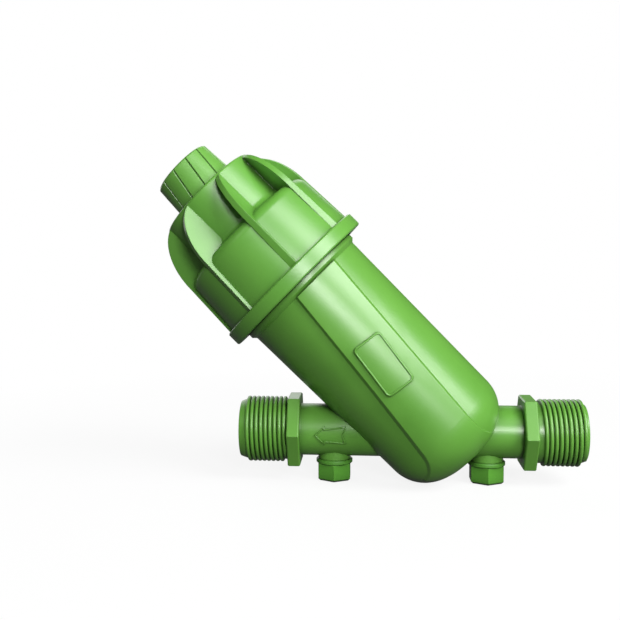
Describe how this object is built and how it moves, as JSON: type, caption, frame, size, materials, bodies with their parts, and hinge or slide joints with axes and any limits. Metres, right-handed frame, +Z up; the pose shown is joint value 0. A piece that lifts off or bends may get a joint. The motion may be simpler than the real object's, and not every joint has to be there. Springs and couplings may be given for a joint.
{
  "type": "sediment water filter",
  "caption": "Inline Y-pattern sediment water filter: green threaded pipe body with an inclined barrel, finned screw cap, small drain cap, hex port plugs and a disc cartridge inside.",
  "frame": {"origin": "centre of the inlet thread at its shoulder, on the outer face of the inlet's hex collar", "axes": "+X along the pipe and out of the inlet, +Z up, -Y towards the side with the raised panel; the barrel rises at 45 degrees towards -X and +Z"},
  "size_m": [0.2116, 0.0862, 0.1698],
  "materials": {
    "moulded_body": "satin injection-moulded surface",
    "moulded_cap": "satin injection-moulded surface",
    "moulded_drain_cap": "satin injection-moulded surface",
    "moulded_plug": "satin injection-moulded surface",
    "green_washer": "soft matte flat washer",
    "seal_rubber": "matte moulded rubber",
    "cartridge_black": "satin injection-moulded surface",
    "disc_red": "fine grooved thin plastic discs"
  },
  "bodies": {
    "body": {"housing": "moulded_body"},
    "cartridge": {"cartridge_carrier": "cartridge_black", "filter_discs": "disc_red", "cartridge_ring": "seal_rubber", "cartridge_nut": "cartridge_black"},
    "cap_seal": {"cap_seal": "seal_rubber"},
    "cap": {"cap": "moulded_cap"},
    "drain_seal": {"drain_seal": "seal_rubber"},
    "drain_cap": {"drain_cap": "moulded_drain_cap"},
    "outlet_washer": {"outlet_plug_washer": "green_washer"},
    "outlet_plug": {"outlet_plug": "moulded_plug"},
    "inlet_washer": {"inlet_plug_washer": "green_washer"},
    "inlet_plug": {"inlet_plug": "moulded_plug"}
  },
  "joints": [
    {"name": "cartridge_draw", "type": "slide", "parent": "body", "child": "cartridge", "axis": [-0.7071, 0, 0.7071], "range_m": [0, 0.175]},
    {"name": "cap_rise", "type": "slide", "parent": "cartridge", "child": "cap_seal", "axis": [-0.7071, 0, 0.7071], "range_m": [0, 0.01507]},
    {"name": "cap_turn", "type": "hinge", "parent": "cap_seal", "child": "cap", "pos_m": [-0.12795, 0, 0.08485], "axis": [-0.7071, 0, 0.7071], "range_deg": [0, 900]},
    {"name": "drain_rise", "type": "slide", "parent": "cap", "child": "drain_seal", "axis": [-0.7071, 0, 0.7071], "range_m": [0, 0.00904]},
    {"name": "drain_turn", "type": "hinge", "parent": "drain_seal", "child": "drain_cap", "pos_m": [-0.17038, 0, 0.12728], "axis": [-0.7071, 0, 0.7071], "range_deg": [0, 1080]},
    {"name": "outlet_plug_drop", "type": "slide", "parent": "body", "child": "outlet_washer", "axis": [0, 0, -1], "range_m": [0, 0.00668]},
    {"name": "outlet_plug_turn", "type": "hinge", "parent": "outlet_washer", "child": "outlet_plug", "pos_m": [-0.0993, 0, -0.02], "axis": [0, 0, -1], "range_deg": [0, 1800]},
    {"name": "inlet_plug_drop", "type": "slide", "parent": "body", "child": "inlet_washer", "axis": [0, 0, -1], "range_m": [0, 0.00668]},
    {"name": "inlet_plug_turn", "type": "hinge", "parent": "inlet_washer", "child": "inlet_plug", "pos_m": [-0.023, 0, -0.02], "axis": [0, 0, -1], "range_deg": [0, 1800]}
  ],
  "couplings": [
    {"joint": "cap_rise", "follows": "cap_turn", "m_per_rad": 0.00095493},
    {"joint": "drain_rise", "follows": "drain_turn", "m_per_rad": 0.00047746},
    {"joint": "outlet_plug_turn", "follows": "outlet_plug_drop", "rad_per_m": 4699.5},
    {"joint": "inlet_plug_turn", "follows": "inlet_plug_drop", "rad_per_m": 4699.5}
  ]
}
